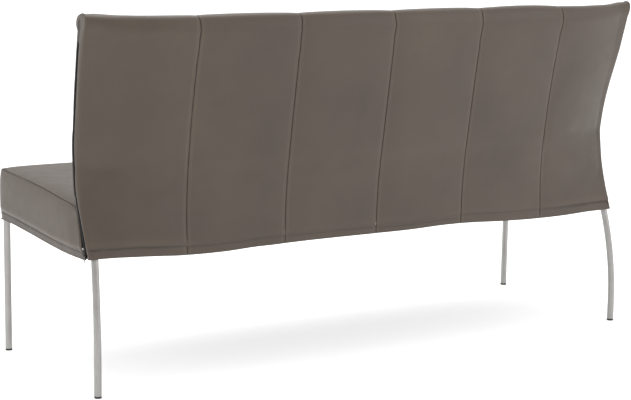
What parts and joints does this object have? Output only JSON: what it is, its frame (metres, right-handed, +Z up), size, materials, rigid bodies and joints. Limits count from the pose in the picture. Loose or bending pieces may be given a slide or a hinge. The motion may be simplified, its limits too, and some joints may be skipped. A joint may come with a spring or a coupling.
{
  "type": "dining sofa",
  "caption": "Armless dining sofa with upright channelled leather back and seat on round steel legs, with a sliding zip up each end of the back.",
  "frame": {"origin": "on the floor, under the middle of the overall box", "axes": "+X towards the sofa's end on the left of the picture, which is a view from behind; +Y towards the rear of the back, so the seat faces -Y; +Z up"},
  "size_m": [1.66, 0.5963, 0.906],
  "materials": {
    "leather": "fine-grained taupe leather, low sheen",
    "foam": "open-cell seat foam",
    "webbing": "woven elastic webbing",
    "felt": "pressed felt",
    "dust_cloth": "thin non-woven cloth",
    "satin_steel": "satin finish",
    "painted_steel": "black powder coat",
    "fasteners": "zinc plated",
    "glide_plastic": "black, matt",
    "zip_cloth": "black woven tape",
    "zip_teeth": "black moulded teeth",
    "zip_metal": "black lacquer",
    "pull_metal": "satin nickel"
  },
  "bodies": {
    "sofa": {"back_bolts": "fasteners", "back_end_foam_left": "foam", "back_end_foam_right": "foam", "back_front_foam": "foam", "back_nuts": "fasteners", "back_panel_1": "leather", "back_panel_2": "leather", "back_panel_3": "leather", "back_panel_4": "leather", "back_panel_5": "leather", "back_panel_6": "leather", "back_rear_foam": "foam", "back_side_left": "leather", "back_side_right": "leather", "back_tube_low": "painted_steel", "back_tube_middle": "painted_steel", "back_tube_top": "painted_steel", "back_upright_left": "painted_steel", "back_upright_right": "painted_steel", "back_webbing": "webbing", "dust_cover": "dust_cloth", "front_glide_left": "glide_plastic", "front_glide_right": "glide_plastic", "front_leg_left": "satin_steel", "front_leg_plate_left": "satin_steel", "front_leg_plate_right": "satin_steel", "front_leg_right": "satin_steel", "leg_screws": "fasteners", "rear_glide_left": "glide_plastic", "rear_glide_right": "glide_plastic", "rear_leg_left": "satin_steel", "rear_leg_plate_left": "satin_steel", "rear_leg_plate_right": "satin_steel", "rear_leg_right": "satin_steel", "seat_cross_rail_left": "painted_steel", "seat_cross_rail_right": "painted_steel", "seat_felt": "felt", "seat_foam": "foam", "seat_panel_1": "leather", "seat_panel_2": "leather", "seat_panel_3": "leather", "seat_panel_4": "leather", "seat_panel_5": "leather", "seat_panel_6": "leather", "seat_rail_front": "painted_steel", "seat_rail_left": "painted_steel", "seat_rail_rear": "painted_steel", "seat_rail_right": "painted_steel", "seat_side_left": "leather", "seat_side_right": "leather", "seat_webbing": "webbing", "zip_chain_left": "zip_teeth", "zip_chain_right": "zip_teeth", "zip_stops": "zip_metal", "zip_tape_left": "zip_cloth", "zip_tape_right": "zip_cloth"},
    "slider_left": {"zip_slider_left": "zip_metal"},
    "slider_right": {"zip_slider_right": "zip_metal"},
    "pull_left": {"zip_pull_left": "pull_metal"},
    "pull_right": {"zip_pull_right": "pull_metal"}
  },
  "joints": [
    {"name": "zip_run_left", "type": "slide", "parent": "sofa", "child": "slider_left", "axis": [0.0281, -0.3367, 0.9412], "range_m": [0, 0.12]},
    {"name": "pull_swing_left", "type": "hinge", "parent": "slider_left", "child": "pull_left", "pos_m": [0.81266, 0.20037, 0.33524], "axis": [0, -1, 0], "range_deg": [0, 150]},
    {"name": "zip_run_right", "type": "slide", "parent": "sofa", "child": "slider_right", "axis": [-0.0281, -0.3367, 0.9412], "range_m": [0, 0.12]},
    {"name": "pull_swing_right", "type": "hinge", "parent": "slider_right", "child": "pull_right", "pos_m": [-0.81266, 0.20037, 0.33524], "axis": [0, 1, 0], "range_deg": [0, 150]}
  ]
}
